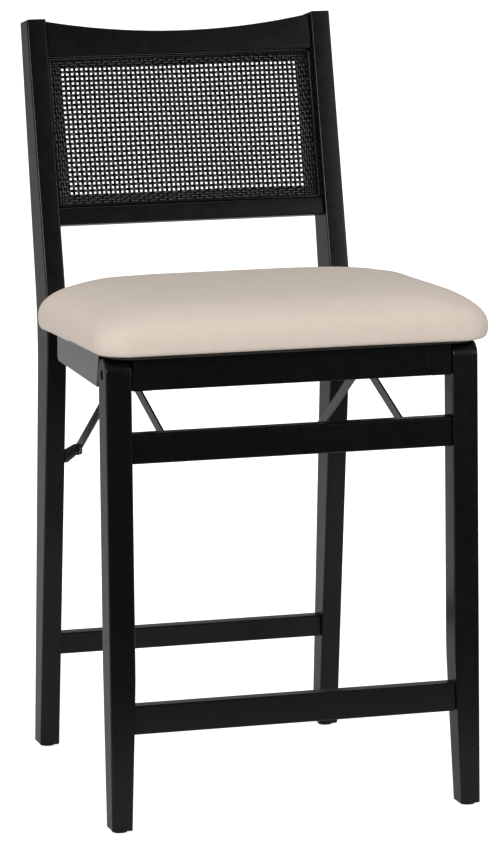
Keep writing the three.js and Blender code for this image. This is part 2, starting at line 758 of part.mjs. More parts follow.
for (const [name, side] of sides) {
  add(`rear_brace_${name}`, brace(openRear, openSlide, rearBraceX, side), steel);
  add(`front_brace_${name}`, brace(openSlide, openFront, frontBraceX, side), steel);
  // The slide pin runs from a head inside the front brace, through both braces, into the track.
  const slideHead = frontBraceX - jointGap;
  const slideEnd = railInnerX - 2 * jointGap;
  add(`slide_pin_${name}`, join(
    rodX(bracePinRadius, side * (slideHead - braceHeadThickness), side * slideEnd, slideY, slideZ),
    rodX(braceHeadRadius, side * (slideHead - braceHeadThickness), side * slideHead, slideY, slideZ),
    rodX(standoffRadius, side * (rearBraceX + braceThickness + jointGap),
      side * (railInnerX - 2 * jointGap - trackThickness - jointGap), slideY, slideZ)), steel);
  // The rear standoff leans down from the rear brace to its foot on the post.
  const rearHead = rearBraceX - jointGap;
  const standoffTop = rearBraceX + braceThickness + jointGap;
  const standoffFoot = postInnerX - jointGap;
  const footZ = rearZ - standoffDrop;
  const collarEnd = standoffTop + braceThickness;
  const collar = rodX(standoffRadius, side * standoffTop, side * collarEnd, rearY, rearZ);
  const foot = rodX(
    standoffFootRadius, side * (standoffFoot - standoffFootThickness), side * standoffFoot, rearY, footZ);
  const arm = Manifold.hull([toSolid(collar), toSolid(foot)]);
  const studEnd = standoffTop + braceThickness / 2;
  add(`rear_brace_stud_${name}`, join(
    rodX(bracePinRadius, side * (rearHead - braceHeadThickness), side * studEnd, rearY, rearZ),
    rodX(braceHeadRadius, side * (rearHead - braceHeadThickness), side * rearHead, rearY, rearZ),
    toGeometry(arm)), steel);
  // The ear bracket on the upper rail carries the front brace.
  const baseFrontY = upperRailY + railThickness + jointGap;
  const earOuter = side * (earInnerX + earThickness);
  const ear = boxBetween(side * earInnerX, earOuter, baseFrontY, frontY + braceHeadRadius,
    frontZ - earLength / 2, frontZ + earLength / 4);
  const base = boxBetween(side * (earInnerX - earBaseWidth), earOuter, baseFrontY, baseFrontY + earThickness,
    frontZ - earLength / 2, frontZ + earLength / 4);
  const hole = rodX(bracePinRadius + pinGap, side * (earInnerX - cutOverrun),
    earOuter + side * cutOverrun, frontY, frontZ);
  add(`front_brace_ear_${name}`, toGeometry(
    toSolid(base).add(toSolid(ear)).subtract(toSolid(hole))), steel);
  const tailX = frontBraceX + braceThickness + jointGap;
  add(`front_brace_rivet_${name}`, join(
    rodX(bracePinRadius, side * (earInnerX - jointGap - braceHeadThickness / 2),
      side * (tailX + braceHeadThickness), frontY, frontZ),
    rodX(rivetHeadRadius, side * tailX, side * (tailX + braceHeadThickness), frontY, frontZ),
    rodX(rivetHeadRadius, side * (earInnerX - jointGap - braceHeadThickness / 2),
      side * (earInnerX - jointGap), frontY, frontZ)), steel);
}

// Seat rests: steel shelves on the rear posts, under the ends of the side rails
for (const [name, side] of sides) {
  const webOuter = postInnerX - jointGap;
  const webInner = webOuter - restPlate;
  const shelfOuter = webOuter + restShelfWidth;
  const web = boxBetween(side * webInner, side * webOuter,
    restFrontY, restFrontY + restLength, restShelfZ - restHeight, restShelfZ);
  const shelf = boxBetween(side * webInner, side * shelfOuter,
    restFrontY, restFrontY + restShelfLength, restShelfZ - restPlate, restShelfZ);
  add(`seat_rest_${name}`, join(web, shelf), steel);
}

// Lift everything so that the glides stand on the floor, and centre the footprint.
const reachFront = cushionFrontY;
const reachRear = postTopFrontY + postTopDepth;
group.children.forEach((mesh) => {
  mesh.geometry.translate(0, -(reachFront + reachRear) / 2, glideThickness);
});

export default group;
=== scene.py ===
import json
import math

import bmesh
import bpy
import numpy as np
from mathutils import Matrix, Vector


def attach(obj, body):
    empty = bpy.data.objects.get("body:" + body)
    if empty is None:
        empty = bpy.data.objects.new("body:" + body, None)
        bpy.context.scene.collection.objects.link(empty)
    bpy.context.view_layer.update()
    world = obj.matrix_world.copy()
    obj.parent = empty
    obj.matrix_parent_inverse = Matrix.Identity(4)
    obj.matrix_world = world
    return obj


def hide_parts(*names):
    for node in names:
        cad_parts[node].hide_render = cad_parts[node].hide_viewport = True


# Metres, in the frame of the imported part: the front faces -Y, the floor is z = 0.
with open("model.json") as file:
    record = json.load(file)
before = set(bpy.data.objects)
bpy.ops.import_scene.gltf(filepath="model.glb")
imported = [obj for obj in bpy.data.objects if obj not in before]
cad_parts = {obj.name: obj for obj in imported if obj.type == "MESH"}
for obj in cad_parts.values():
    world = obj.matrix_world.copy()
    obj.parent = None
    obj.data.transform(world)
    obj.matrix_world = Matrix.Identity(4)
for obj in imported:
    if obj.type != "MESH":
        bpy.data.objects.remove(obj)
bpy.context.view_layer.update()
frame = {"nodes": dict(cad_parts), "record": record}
bodies = {}
for body, members in frame["record"]["behaviour"]["bodies"].items():
    for member in members:
        bodies[member] = body

# Photograph's view
IMAGE_WIDTH = 502
IMAGE_HEIGHT = 843
FOCAL_PIXELS = 4876.11
PRINCIPAL = (265.15, 348.23)
CAMERA_PLACE = (-1.74216, -5.56677, 1.45534)
CAMERA_YAW = 17.7365
CAMERA_PITCH = 9.0517
CAMERA_ROLL = -0.0807
SENSOR_HEIGHT = 36
VIEW_DEPTH = 60


def make_camera():
    """The view that was fitted to the photograph's straight edges."""
    data = bpy.data.cameras.new("camera")
    data.sensor_fit = "VERTICAL"
    data.sensor_height = SENSOR_HEIGHT
    data.lens = FOCAL_PIXELS * data.sensor_height / IMAGE_HEIGHT
    data.shift_x = (IMAGE_WIDTH / 2 - PRINCIPAL[0]) / IMAGE_HEIGHT
    data.shift_y = (PRINCIPAL[1] - IMAGE_HEIGHT / 2) / IMAGE_HEIGHT
    data.clip_end = VIEW_DEPTH
    yaw = math.radians(CAMERA_YAW)
    pitch = math.radians(CAMERA_PITCH)
    forward = Vector((math.sin(yaw) * math.cos(pitch), math.cos(yaw) * math.cos(pitch), -math.sin(pitch)))
    right = forward.cross(Vector((0, 0, 1))).normalized()
    up = right.cross(forward)
    turn = Matrix((right, up, -forward)).transposed().to_4x4()
    camera = bpy.data.objects.new("camera", data)
    bpy.context.scene.collection.objects.link(camera)
    camera.matrix_world = (
        Matrix.Translation(CAMERA_PLACE) @ turn @ Matrix.Rotation(math.radians(CAMERA_ROLL), 4, "Z"))
    bpy.context.scene.camera = camera


make_camera()


# Node helpers
NOISE_LOW, NOISE_HIGH = 0.3, 0.7


class Nodes:
    """A short way to write node trees."""

    def __init__(self, owner):
        owner.use_nodes = True
        self.tree = owner.node_tree
        self.tree.nodes.clear()

    def add(self, kind, settings=None, **inputs):
        node = self.tree.nodes.new(kind)
        for key, value in (settings or {}).items():
            setattr(node, key, value)
        for key, value in inputs.items():
            self.put(node, key.replace("_", " "), value)
        return node

    def put(self, node, socket, value):
        target = node.inputs[socket]
        if isinstance(value, bpy.types.NodeSocket):
            self.tree.links.new(value, target)
        else:
            target.default_value = value

    def math(self, operation, a, b=0.0, clamp=False):
        node = self.tree.nodes.new("ShaderNodeMath")
        node.operation = operation
        node.use_clamp = clamp
        self.put(node, 0, a)
        self.put(node, 1, b)
        return node.outputs[0]

    def range(self, value, low, high, out_low, out_high):
        node = self.add("ShaderNodeMapRange")
        self.put(node, "Value", value)
        self.put(node, "From Min", low)
        self.put(node, "From Max", high)
        self.put(node, "To Min", out_low)
        self.put(node, "To Max", out_high)
        return node.outputs[0]

    def vary(self, noise, low, high):
        """Spreads the usual span of a noise over the values from low to high."""
        return self.range(noise, NOISE_LOW, NOISE_HIGH, low, high)

    def mix_colour(self, share, a, b):
        node = self.tree.nodes.new("ShaderNodeMix")
        node.data_type = "RGBA"
        self.put(node, 0, share)
        self.put(node, 6, a)
        self.put(node, 7, b)
        return node.outputs[2]

    def noise(self, place, scale, detail, roughness):
        node = self.add("ShaderNodeTexNoise")
        self.put(node, "Vector", place)
        self.put(node, "Scale", scale)
        self.put(node, "Detail", detail)
        self.put(node, "Roughness", roughness)
        return node.outputs[0]

    def stretched(self, place, scale):
        node = self.add("ShaderNodeMapping")
        self.put(node, "Vector", place)
        self.put(node, "Scale", scale)
        return node.outputs[0]

    def bump(self, height, strength, distance, normal=None):
        node = self.add("ShaderNodeBump")
        self.put(node, "Height", height)
        self.put(node, "Strength", strength)
        self.put(node, "Distance", distance)
        if normal is not None:
            self.put(node, "Normal", normal)
        return node.outputs[0]

    def finish(self, shader):
        out = self.add("ShaderNodeOutputMaterial")
        self.tree.links.new(shader, out.inputs[0])


def new_material(name):
    material = bpy.data.materials.new(name)
    return material, Nodes(material)


def grey(value):
    return (value, value, value, 1)


# Materials. Noise scales are per metre, times the stretch where there is one; depths are in metres.
WOOD_DARK = (0.0018, 0.0017, 0.0017, 1)
WOOD_LIGHT = (0.0052, 0.0049, 0.0047, 1)
# The side blocks' base colours are lighter than the other wood's: a painted sheen, standing in for the
# grazing reflection on their sides.
BLOCK_SHEEN_DARK = (0.008, 0.0077, 0.007, 1)
BLOCK_SHEEN_LIGHT = (0.016, 0.0153, 0.0138, 1)
PORES_ACROSS, PORES_ALONG = 90.0, 4.0
CLOUDS_ACROSS, CLOUDS_ALONG = 14.0, 1.6
DARKEST_TONE = 0.62
VARNISH_IOR = 1.42
COAT_ROUGHNESS = 0.2
COAT_IOR = 1.7
PORE_DEPTH = 0.0003
CLOUD_DEPTH = 0.002
LINEN_DARK = (0.578, 0.493, 0.42, 1)
LINEN_LIGHT = (0.768, 0.664, 0.578, 1)
THREAD_PITCH = 0.0011
THREAD_DEPTH = 0.0004
WEAVE_DEPTH = 0.00025
SLUBS_ACROSS = (90.0, 900.0, 900.0)
SLUBS_ALONG = (900.0, 110.0, 110.0)
DYE_STRETCH = (1.0, 1.0, 0.6)
FACING_POWER = 4.0
ENAMEL_IOR = 1.55
STREAKS = (400.0, 60.0, 60.0)
STREAK_DEPTH = 0.0002
CANE_DARK = (0.0014, 0.0013, 0.0013, 1)
CANE_LIGHT = (0.005, 0.0047, 0.0045, 1)
FIBRE_DEPTH = 0.0002
BOARD_DARK = (0.011, 0.0105, 0.01, 1)
BOARD_LIGHT = (0.022, 0.02, 0.0185, 1)
MOTTLE_DEPTH = 0.0003


def black_wood(name, along, low=WOOD_DARK, high=WOOD_LIGHT, coat=0.0):
    """Black stained wood with a satin varnish, its grain along axis 0, 1 or 2; coat adds a gloss layer."""
    material, n = new_material(name)
    place = n.add("ShaderNodeTexCoord").outputs["Object"]
    fine = [PORES_ACROSS] * 3
    fine[along] = PORES_ALONG
    broad = [CLOUDS_ACROSS] * 3
    broad[along] = CLOUDS_ALONG
    pores = n.noise(n.stretched(place, fine), scale=6.0, detail=4.0, roughness=0.6)
    cloud = n.noise(n.stretched(place, broad), scale=1.0, detail=2.0, roughness=0.5)
    scuff = n.noise(place, scale=60.0, detail=3.0, roughness=0.6)
    tone = n.math("MULTIPLY", n.range(pores, 0.35, 0.65, 0.97, 1.03), n.vary(cloud, 0.92, 1.08))
    colour = n.mix_colour(n.math("SUBTRACT", tone, DARKEST_TONE, clamp=True), low, high)
    shader = n.add("ShaderNodeBsdfPrincipled")
    n.put(shader, "Base Color", colour)
    n.put(shader, "Roughness", n.math("ADD", n.vary(scuff, -0.02, 0.03), n.vary(pores, 0.25, 0.29)))
    shader.inputs["IOR"].default_value = VARNISH_IOR
    shader.inputs["Coat Weight"].default_value = coat
    shader.inputs["Coat Roughness"].default_value = COAT_ROUGHNESS
    shader.inputs["Coat IOR"].default_value = COAT_IOR
    n.put(shader, "Normal", n.bump(pores, 0.02, PORE_DEPTH, n.bump(cloud, 0.04, CLOUD_DEPTH)))
    n.finish(shader.outputs[0])
    return material


def linen_material():
    """Plain woven beige cloth: two sets of threads, slubs and a slightly mottled dye."""
    material, n = new_material("linen_weave")
    place = n.add("ShaderNodeTexCoord").outputs["Object"]
    split = n.add("ShaderNodeSeparateXYZ", Vector=place)
    normal = n.add("ShaderNodeNewGeometry")
    facing = n.add("ShaderNodeSeparateXYZ", Vector=normal.outputs["Normal"])
    x, y, z = split.outputs
    pitch = 2 * math.pi / THREAD_PITCH
    wave = [n.math("SINE", n.math("MULTIPLY", value, pitch)) for value in (x, y, z)]
    top = n.math("MULTIPLY", wave[0], wave[1])
    front = n.math("MULTIPLY", wave[0], wave[2])
    side = n.math("MULTIPLY", wave[1], wave[2])
    weight = [n.math("POWER", n.math("ABSOLUTE", value), FACING_POWER) for value in facing.outputs]
    weave = n.math("ADD", n.math("MULTIPLY", top, weight[2]),
                   n.math("ADD", n.math("MULTIPLY", front, weight[1]), n.math("MULTIPLY", side, weight[0])))
    slub_across = n.noise(n.stretched(place, SLUBS_ACROSS), scale=1.0, detail=3.0, roughness=0.6)
    slub_along = n.noise(n.stretched(place, SLUBS_ALONG), scale=1.0, detail=3.0, roughness=0.6)
    mottle = n.noise(n.stretched(place, DYE_STRETCH), scale=34.0, detail=4.0, roughness=0.55)
    threads = n.math("ADD", slub_across, slub_along)
    tone = n.math("ADD", n.range(threads, 0.75, 1.25, -0.08, 0.08), n.vary(mottle, -0.045, 0.045))
    tone = n.math("ADD", tone, n.math("MULTIPLY", weave, 0.02))
    colour = n.mix_colour(n.math("ADD", tone, 0.5, clamp=True), LINEN_DARK, LINEN_LIGHT)
    shader = n.add("ShaderNodeBsdfPrincipled")
    n.put(shader, "Base Color", colour)
    n.put(shader, "Roughness", n.range(threads, 0.7, 1.3, 0.84, 0.95))
    shader.inputs["Sheen Weight"].default_value = 0.12
    shader.inputs["Sheen Roughness"].default_value = 0.5
    shader.inputs["Specular IOR Level"].default_value = 0.2
    n.put(shader, "Normal", n.bump(threads, 0.3, THREAD_DEPTH, n.bump(weave, 0.35, WEAVE_DEPTH)))
    n.finish(shader.outputs[0])
    return material


def enamel_material(name, tone, rough):
    """Steel under black enamel, with faint drawing lines below the film."""
    material, n = new_material(name)
    place = n.add("ShaderNodeTexCoord").outputs["Object"]
    streak = n.noise(n.stretched(place, STREAKS), scale=3.0, detail=3.0, roughness=0.6)
    cloud = n.noise(place, scale=120.0, detail=3.0, roughness=0.6)
    low, high = grey(tone * 0.7), (tone * 1.3, tone * 1.26, tone * 1.2, 1)
    colour = n.mix_colour(n.vary(cloud, 0.0, 1.0), low, high)
    shader = n.add("ShaderNodeBsdfPrincipled")
    n.put(shader, "Base Color", colour)
    n.put(shader, "Roughness", n.vary(streak, rough - 0.05, rough + 0.07))
    shader.inputs["IOR"].default_value = ENAMEL_IOR
    n.put(shader, "Normal", n.bump(streak, 0.1, STREAK_DEPTH))
    n.finish(shader.outputs[0])
    return material


def cane_material():
    """Cane strands stained black, glossier in patches."""
    material, n = new_material("cane_strand")
    place = n.add("ShaderNodeTexCoord").outputs["Object"]
    fibre = n.noise(place, scale=900.0, detail=2.0, roughness=0.6)
    patch = n.noise(place, scale=70.0, detail=3.0, roughness=0.6)
    colour = n.mix_colour(n.range(patch, 0.35, 0.7, 0.0, 1.0), CANE_DARK, CANE_LIGHT)
    shader = n.add("ShaderNodeBsdfPrincipled")
    n.put(shader, "Base Color", colour)
    n.put(shader, "Roughness", n.vary(patch, 0.14, 0.34))
    shader.inputs["Specular IOR Level"].default_value = 0.4
    n.put(shader, "Normal", n.bump(fibre, 0.2, FIBRE_DEPTH))
    n.finish(shader.outputs[0])
    return material


def plain_material(name, low, high, rough, scale=180.0, bump=0.1):
    """A mottled, slightly rough finish for the boards and the nylon pieces."""
    material, n = new_material(name)
    place = n.add("ShaderNodeTexCoord").outputs["Object"]
    cloud = n.noise(place, scale, detail=4.0, roughness=0.6)
    shader = n.add("ShaderNodeBsdfPrincipled")
    n.put(shader, "Base Color", n.mix_colour(n.vary(cloud, 0.0, 1.0), low, high))
    n.put(shader, "Roughness", n.vary(cloud, rough - 0.05, rough + 0.06))
    n.put(shader, "Normal", n.bump(cloud, bump, MOTTLE_DEPTH))
    n.finish(shader.outputs[0])
    return material


wood = [black_wood("black_wood_x", 0), black_wood("black_wood_y", 1), black_wood("black_wood_z", 2)]
linen = linen_material()
# The side blocks: a real gloss coat, and a lighter base colour that paints in their sheen.
block_sheen_wood = black_wood("black_wood_block_painted_sheen", 1, BLOCK_SHEEN_DARK, BLOCK_SHEEN_LIGHT, coat=1.0)
steel = enamel_material("black_enamel", tone=0.012, rough=0.24)
fitting = enamel_material("fitting_enamel", tone=0.008, rough=0.32)
cane = cane_material()
board = plain_material("stained_board", BOARD_DARK, BOARD_LIGHT, rough=0.75, scale=40.0, bump=0.2)
nylon = plain_material("black_nylon", grey(0.01), grey(0.018), rough=0.5)


# Mesh helpers
WELD = 2e-5
FLAT_ANGLE = 0.6
SHARP_ANGLE = 40
NORMAL_WEIGHT = 80
WOOD_ANGLE = 50
METAL_ANGLE = 40
CANE_ANGLE = 80
CLOTH_ANGLE = 60
WOOD_SEGMENTS = 3
METAL_SEGMENTS = 2
# Radii of softened edges
SOFT_RAIL = 0.0012
SOFT_BLOCK = 0.0008
SOFT_BOARD = 0.001
SOFT_BRACE = 0.0004
SOFT_FITTING = 0.0003


def place_mesh(name, mesh, material, nodes, body):
    """Adds a mesh as a piece that rides a body and stands for CAD nodes."""
    piece = bpy.data.objects.new(name, mesh)
    bpy.context.scene.collection.objects.link(piece)
    mesh.materials.clear()
    mesh.materials.append(material)
    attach(piece, body)
    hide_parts(*nodes)
    return piece


def smooth(mesh, degrees):
    """Shades a mesh smooth, but for its edges sharper than some degrees."""
    for polygon in mesh.polygons:
        polygon.use_smooth = True
    mesh.set_sharp_from_angle(angle=math.radians(degrees))


def weighted(piece):
    """Lets large faces rule the normals, so that they look flat beside a soft edge."""
    modifier = piece.modifiers.new("normals", "WEIGHTED_NORMAL")
    modifier.keep_sharp = True
    modifier.weight = NORMAL_WEIGHT


def refine(node, material, soften=0.0, degrees=WOOD_ANGLE, segments=WOOD_SEGMENTS):
    """A smooth-shaded copy of a CAD node; soften rounds its sharp edges by that radius."""
    source = frame["nodes"][node]
    bm = bmesh.new()
    bm.from_mesh(source.data)
    bmesh.ops.remove_doubles(bm, verts=bm.verts, dist=WELD)
    bmesh.ops.dissolve_limit(bm, angle_limit=math.radians(FLAT_ANGLE), verts=bm.verts, edges=bm.edges)
    if soften > 0:
        limit = math.radians(SHARP_ANGLE)
        sharp = [e for e in bm.edges if len(e.link_faces) == 2 and e.calc_face_angle(0) > limit]
        bmesh.ops.bevel(bm, geom=sharp, offset=soften, segments=segments, profile=0.5,
                        affect="EDGES", clamp_overlap=True)
    bmesh.ops.recalc_face_normals(bm, faces=bm.faces)
    mesh = bpy.data.meshes.new(node + "_finished")
    bm.to_mesh(mesh)
    bm.free()
    smooth(mesh, degrees)
    piece = place_mesh(node + "_finished", mesh, material, [node], bodies[node])
    weighted(piece)


SIDES = ("left", "right")
for side in SIDES:
    refine(f"front_leg_{side}", wood[2])
    refine(f"rear_post_{side}", wood[2])
    refine(f"seat_side_rail_{side}", wood[1], SOFT_RAIL)
    refine(f"seat_side_block_{side}", block_sheen_wood)
    refine(f"corner_block_front_{side}", board, SOFT_BLOCK)
    refine(f"corner_block_rear_{side}", board, SOFT_BLOCK)
for name in ("upper_front_rail", "footrest_rail", "rear_stretcher", "crest_rail", "lower_back_rail"):
    refine(name, wood[0])
for name in ("front_apron", "rear_apron"):
    refine(name, wood[0], SOFT_RAIL)
refine("seat_board", board, SOFT_BOARD)
for side in SIDES:
    for name in ("rear_brace", "front_brace"):
        refine(f"{name}_{side}", steel, SOFT_BRACE, METAL_ANGLE, METAL_SEGMENTS)
    for name in ("slide_pin", "rear_brace_stud", "front_brace_ear", "front_brace_rivet", "slide_track",
                 "leg_pivot_pin", "seat_rest", "board_screw_front", "board_screw_rear"):
        refine(f"{name}_{side}", fitting, SOFT_FITTING, METAL_ANGLE, METAL_SEGMENTS)
    for name in ("leg_washer", "front_glide", "rear_glide"):
        refine(f"{name}_{side}", nylon, SOFT_FITTING, METAL_ANGLE, METAL_SEGMENTS)


# Back panel: a bead round a woven cane sheet, on a plane that leans with the posts
PANEL_SLOPE = 0.252334
LEAN = math.atan(PANEL_SLOPE)
PANEL_Y = 0.175675
PANEL_Z = 0.683
PANEL_HALF = 0.1709
PANEL_HEIGHT = 0.1877


def on_panel(x, depth, height):
    """A place on the panel: across it, back from its plane and up its lean."""
    return (x, PANEL_Y + depth * math.cos(LEAN) + height * math.sin(LEAN),
            PANEL_Z - depth * math.sin(LEAN) + height * math.cos(LEAN))


CELLS_X = 51
CELLS_Z = 27
BORDER_LEFT = 0.0166
BORDER_RIGHT = 0.0193
BORDER_LOW = 0.0152
BORDER_HIGH = 0.0127
STRAND_SHIFT = 0.00022
STRAND_BOW = 0.0004
STRAND_WIDTH = 0.0035
STRAND_THICK = 0.0009
WEAVE_RISE = 0.0005
CANE_DEPTH = 0.0102
CANE_EDGE = 0.0008
EDGE_CLEARANCE = 0.002
MOST_BORDER_STRANDS = 8
FILLER_WIDTH = 0.9
FILLER_REACH = 0.4
SIDE_WANDER = 0.00012
WANDER_WAVES = (160, 911)
BOW_WAVES = (24, 31)
SHIFT_WAVE = 12.9898
FLAT_SHARE = 0.55
TOLERANCE = 1e-6


def strand(across, start, end, crossings, phase, width, vertical, verts, faces):
    """One woven strand; across is its place, and crossings the places of the strands that it crosses."""
    stops = []
    for index, place in enumerate(crossings):
        if start - TOLERANCE <= place <= end + TOLERANCE:
            rise = WEAVE_RISE * (1 if (index + phase) % 2 == 0 else -1)
            stops.append((place, rise))
    points = [(start, 0.0)]
    for index, (place, rise) in enumerate(stops):
        points.append((place, rise))
        if index + 1 < len(stops):
            points.append(((place + stops[index + 1][0]) / 2, 0.0))
    points.append((end, 0.0))
    half = width / 2
    thick = STRAND_THICK / 2
    flat = half * FLAT_SHARE
    profile = [(-half, 0.0), (-flat, -thick), (flat, -thick), (half, 0.0), (flat, thick), (-flat, thick)]
    base = len(verts)
    count = len(profile)
    for along, rise in points:
        wander = SIDE_WANDER * math.sin(along * WANDER_WAVES[0] + across * WANDER_WAVES[1])
        wander += STRAND_BOW * math.sin(along * BOW_WAVES[0] + across * BOW_WAVES[1])
        for offset, lift in profile:
            depth = CANE_DEPTH + rise * (1 if vertical else -1) + lift
            if vertical:
                verts.append(on_panel(across + offset + wander, depth, along))
            else:
                verts.append(on_panel(along, depth, across + offset + wander))
    for level in range(len(points) - 1):
        for k in range(count):
            a = base + level * count + k
            b = base + level * count + (k + 1) % count
            faces.append((a, b, b + count, a + count))
    faces.append(tuple(base + k for k in range(count))[::-1])
    last = base + (len(points) - 1) * count
    faces.append(tuple(last + k for k in range(count)))


def spread(first, last, count):
    """Places of count + 1 strands from first to last, each a little off its even place."""
    pitch = (last - first) / count
    return [first + pitch * k + STRAND_SHIFT * math.sin(k * SHIFT_WAVE) for k in range(count + 1)]


def cane_sheet():
    """The woven sheet, open in the middle and dense at its border."""
    start_x, end_x = -PANEL_HALF + CANE_EDGE, PANEL_HALF - CANE_EDGE
    start_z, end_z = CANE_EDGE, PANEL_HEIGHT - CANE_EDGE
    left, right = BORDER_LEFT - PANEL_HALF, PANEL_HALF - BORDER_RIGHT
    low, high = BORDER_LOW, PANEL_HEIGHT - BORDER_HIGH
    columns = spread(left, right, CELLS_X)
    rows = spread(low, high, CELLS_Z)
    half_x = (right - left) / CELLS_X / 2
    half_z = (high - low) / CELLS_Z / 2

    def with_border(places, first, last, step, start, end):
        counts = range(1, MOST_BORDER_STRANDS + 1)
        outside = [first - step * k for k in counts] + [last + step * k for k in counts]
        low_end, high_end = start + EDGE_CLEARANCE, end - EDGE_CLEARANCE
        return sorted(places + [value for value in outside if low_end < value < high_end])

    all_x = with_border(columns, left, right, half_x, start_x, end_x)
    all_z = with_border(rows, low, high, half_z, start_z, end_z)
    verts = []
    faces = []
    for index, x in enumerate(all_x):
        strand(x, start_z, end_z, all_z, index % 2, STRAND_WIDTH, True, verts, faces)
    for index, z in enumerate(all_z):
        strand(z, start_x, end_x, all_x, index % 2, STRAND_WIDTH, False, verts, faces)
    # Strands in between make the border dense.
    for k in range(CELLS_X):
        x = columns[k] + half_x
        for first, last in ((start_z, low - half_z * FILLER_REACH), (high + half_z * FILLER_REACH, end_z)):
            strand(x, first, last, all_z, k % 2, STRAND_WIDTH * FILLER_WIDTH, True, verts, faces)
    for k in range(CELLS_Z):
        z = rows[k] + half_z
        for first, last in ((start_x, left - half_x * FILLER_REACH), (right + half_x * FILLER_REACH, end_x)):
            strand(z, first, last, all_x, k % 2, STRAND_WIDTH * FILLER_WIDTH, False, verts, faces)
    mesh = bpy.data.meshes.new("cane_weave")
    mesh.from_pydata(verts, [], faces)
    mesh.update()
    smooth(mesh, CANE_ANGLE)
    place_mesh("cane_weave", mesh, cane, ["cane_panel"], "rear_frame")


BEAD_WIDTH = 0.0042
BEAD_BACK = 0.0092
BEAD_FRONT = 0.0046
BEAD_ROUND = 0.55
BEAD_STEPS = 8
BEAD_OVER_SIDE = 0.0002
BEAD_INSIDE_END = 0.0003


def bead_ring():
    """A mitred half-round bead in the front of the opening."""
    outer_x = PANEL_HALF + BEAD_OVER_SIDE
    low = BEAD_INSIDE_END
    high = PANEL_HEIGHT - BEAD_INSIDE_END
    profile = [(0.0, BEAD_BACK)]
    for k in range(BEAD_STEPS + 1):
        angle = math.pi * k / BEAD_STEPS
        inward = BEAD_WIDTH * (1 - math.cos(angle)) / 2
        depth = BEAD_FRONT + (BEAD_BACK - BEAD_FRONT) * BEAD_ROUND * (1 - math.sin(angle))
        profile.append((inward, depth))
    profile.append((BEAD_WIDTH, BEAD_BACK))
    corners = [(-1, 0), (1, 0), (1, 1), (-1, 1)]
    verts = []
    for sx, top in corners:
        for inward, depth in profile:
            verts.append(on_panel(sx * (outer_x - inward), depth, high - inward if top else low + inward))
    count = len(profile)
    faces = []
    for corner in range(len(corners)):
        for k in range(count):
            a = corner * count + k
            b = corner * count + (k + 1) % count
            c = ((corner + 1) % len(corners)) * count + (k + 1) % count
            d = ((corner + 1) % len(corners)) * count + k
            faces.append((a, d, c, b))
    mesh = bpy.data.meshes.new("cane_bead_round")
    mesh.from_pydata(verts, [], faces)
    mesh.update()
    bm = bmesh.new()
    bm.from_mesh(mesh)
    bmesh.ops.recalc_face_normals(bm, faces=bm.faces)
    bm.to_mesh(mesh)
    bm.free()
    smooth(mesh, WOOD_ANGLE)
    place_mesh("cane_bead_round", mesh, wood[0], ["cane_bead"], "rear_frame")


cane_sheet()
bead_ring()


# Cushion: a rounded plan, a little narrower at the rear, whose surface is given ring by ring
FRONT_HALF = 0.2415
REAR_HALF = 0.2392
FRONT_Y = -0.26045
REAR_Y = 0.09655
BOTTOM_Z = 0.5597
WIDEST_Z = 0.5785
CROWN_Z = 0.6191
FRONT_CORNER = 0.0355
REAR_CORNER = 0.078
CORNER_GROWTH = 0.55
TUCK = 0.0038
# How its top rises from the edge
SHOULDER = 0.064
SOFT_SHOULDER = 0.15
SOFT_SHARE = 0.12
DOME_POWER = 2.5
EDGE_POWER = 1.72
# How it settles
TILT = 0.004
REAR_DROOP = 0.012
RIGHT_DROOP = 0.0016
FRONT_EASE = 0.014
# The board and the seat frame below it, and the pockets for them
BOARD_INSET = 0.014
BOARD_BOTTOM = 0.5592
BOARD_TOP = 0.5692
FRAME_HALF = 0.2268
FRAME_REAR = 0.09485
BOARD_CLEARANCE = 0.0006
BOARD_HEADROOM = 0.0004
POCKET_DEPTH = 0.52
POCKET_FRONT = -0.4
MID_Y = (FRONT_Y + REAR_Y) / 2
HALF_DEPTH = (REAR_Y - FRONT_Y) / 2
# Steps of the cover's mesh
CORNER_LIMIT = 0.98
CORNER_STEPS = 12
SIDE_STEPS = 11
UNDERSIDE_INSETS = (0.15, 0.1, 0.05, 0.02)
EDGE_STEPS = 8
TOP_STEPS = 26
INNERMOST_RING = 0.97
# How it is filled and evened out
SEWN_SMALLER = 0.001
VOXEL = 0.005
SWELL_CAP = 0.0018
SWELL_FRAMES = 20
HELD_HEIGHT = 0.006
EVEN_ROUNDS = 4
CROWN_ROUNDS = 24
CROWN_LOW = 0.59
CROWN_HIGH = 0.612


def cushion_plan(inset, growth):
    """The cushion's plan drawn in from its edge, counter-clockwise from the right side."""
    arcs = []
    for corner, (sx, sy) in enumerate(((1, 1), (-1, 1), (-1, -1), (1, -1))):
        half = (REAR_HALF if sy > 0 else FRONT_HALF) - inset
        edge = REAR_Y - inset if sy > 0 else FRONT_Y + inset
        wanted = (REAR_CORNER if sy > 0 else FRONT_CORNER) + growth
        radius = min(wanted, CORNER_LIMIT * (HALF_DEPTH - inset))
        arc = []
        for step in range(CORNER_STEPS + 1):
            angle = (corner + step / CORNER_STEPS) * math.pi / 2
            x = sx * (half - radius) + radius * math.cos(angle)
            y = edge - sy * radius + radius * math.sin(angle)
            arc.append((x, y))
        arcs.append(arc)
    points = []
    for corner, arc in enumerate(arcs):
        points += arc
        end, after = arc[-1], arcs[(corner + 1) % len(arcs)][0]
        for step in range(SIDE_STEPS):
            share = (step + 1) / (SIDE_STEPS + 1)
            points.append((end[0] + (after[0] - end[0]) * share, end[1] + (after[1] - end[1]) * share))
    return points


